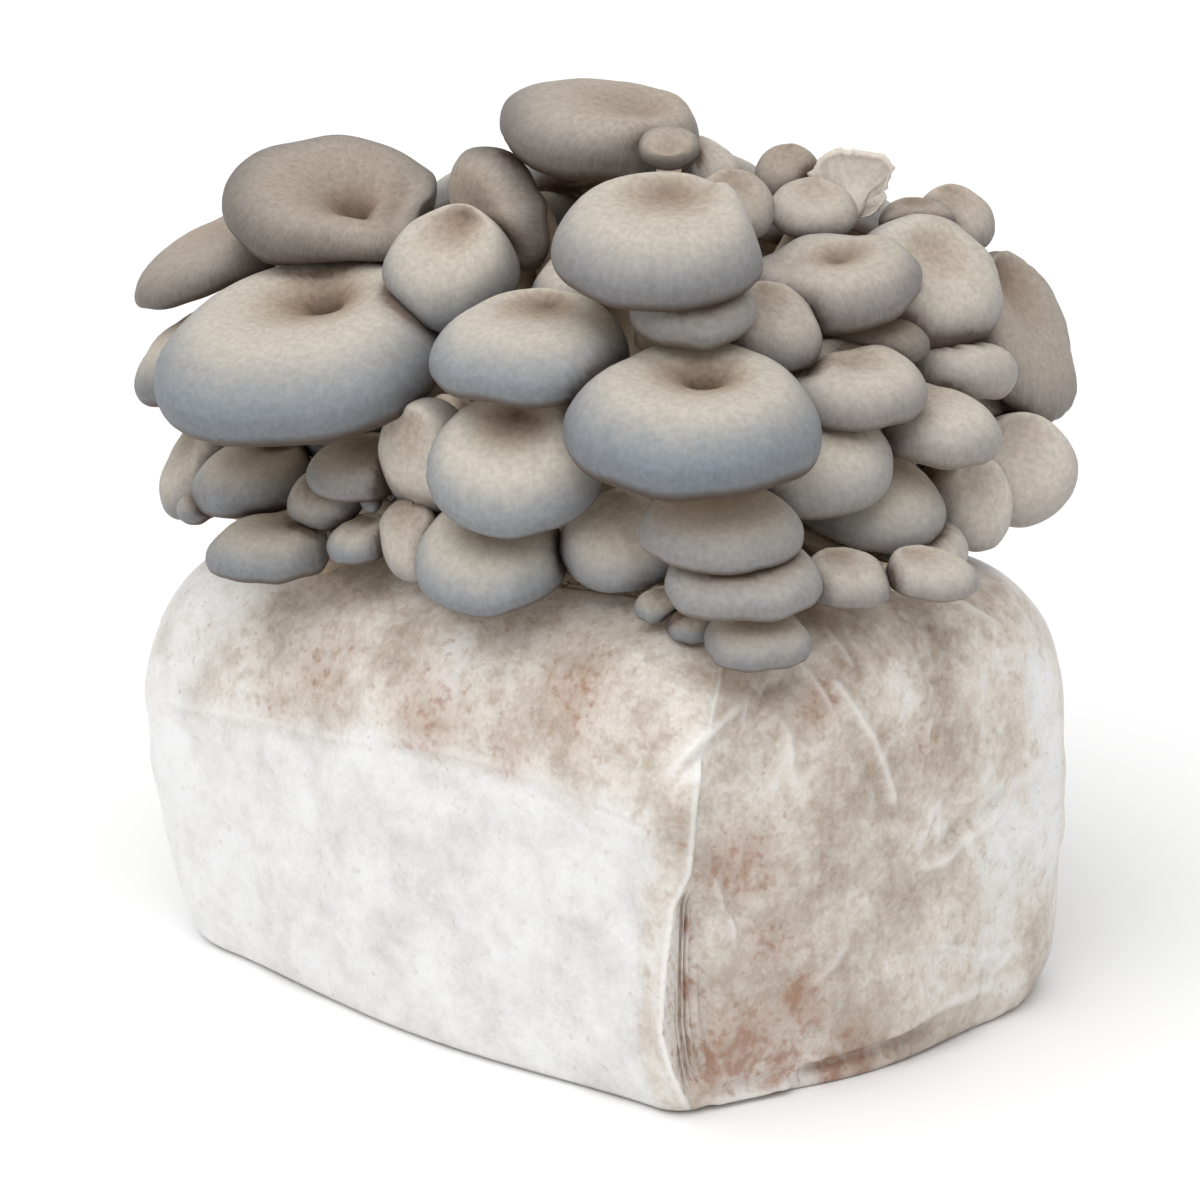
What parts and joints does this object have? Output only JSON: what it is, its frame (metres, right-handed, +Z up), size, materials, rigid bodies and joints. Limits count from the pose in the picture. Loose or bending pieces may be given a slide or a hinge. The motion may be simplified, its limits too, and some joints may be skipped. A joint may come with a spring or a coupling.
{
  "type": "oyster mushroom grow bag",
  "caption": "Film bag of colonised substrate lying on its long side, with a dense bouquet of oyster mushrooms growing out of its open top.",
  "frame": {"origin": "on the table, under the middle of the bag's base", "axes": "+X along the bag towards its folded end, +Y towards the back, +Z up"},
  "size_m": [0.3076, 0.2568, 0.2807],
  "materials": {
    "film": "clouded, slightly glossy film against white mycelium",
    "substrate": "sawdust bound by mycelium",
    "stem_flesh": "pale, matt, fibrous",
    "cap_skin": "satin, cream-grey"
  },
  "bodies": {
    "root": {"bag_film": "film", "substrate_block": "substrate", "stem_base": "stem_flesh", "mushroom_big_left": "cap_skin", "mushroom_upper_left": "cap_skin", "mushroom_far_left": "cap_skin", "mushroom_left_shoulder": "cap_skin", "mushroom_mid_left": "cap_skin", "mushroom_tall_oval": "cap_skin", "mushroom_crown": "cap_skin", "mushroom_crown_bud": "cap_skin", "mushroom_upper_middle": "cap_skin", "mushroom_tucked_pale": "cap_skin", "mushroom_under_upper_middle": "cap_skin", "mushroom_middle_left": "cap_skin", "mushroom_big_middle": "cap_skin", "mushroom_middle_right": "cap_skin", "mushroom_right_ruffle": "cap_skin", "mushroom_right_dome": "cap_skin", "mushroom_right_fan": "cap_skin", "mushroom_upper_right_lobe": "cap_skin", "mushroom_upper_right": "cap_skin", "mushroom_curled_back": "cap_skin", "mushroom_right_top_back": "cap_skin", "mushroom_right_fold": "cap_skin", "mushroom_right_ledge": "cap_skin", "mushroom_right_pillow": "cap_skin", "mushroom_right_big_shelf": "cap_skin", "mushroom_right_low_shelf": "cap_skin", "mushroom_far_right_round": "cap_skin", "mushroom_right_low_round": "cap_skin", "mushroom_right_bottom": "cap_skin", "mushroom_right_front_bottom": "cap_skin", "mushroom_front_shelf": "cap_skin", "mushroom_front_low_shelf": "cap_skin", "mushroom_front_bottom": "cap_skin", "mushroom_front_left_shelf": "cap_skin", "mushroom_front_pillow": "cap_skin", "mushroom_beside_pillow": "cap_skin", "mushroom_front_bottom_left": "cap_skin", "mushroom_left_under": "cap_skin", "mushroom_left_edge": "cap_skin", "mushroom_left_bottom": "cap_skin", "mushroom_left_inner": "cap_skin", "mushroom_left_inner_low": "cap_skin", "mushroom_back_high_left": "cap_skin", "mushroom_back_high": "cap_skin", "mushroom_back_high_right": "cap_skin", "mushroom_back_left": "cap_skin", "mushroom_back_upper_left": "cap_skin", "mushroom_back_upper_right": "cap_skin", "mushroom_back_right": "cap_skin", "mushroom_back_far_left": "cap_skin", "mushroom_back_middle_left": "cap_skin", "mushroom_back_middle": "cap_skin", "mushroom_back_middle_right": "cap_skin", "mushroom_back_far_right": "cap_skin", "mushroom_back_low_left": "cap_skin", "mushroom_back_low": "cap_skin", "mushroom_back_low_right": "cap_skin"}
  },
  "joints": []
}
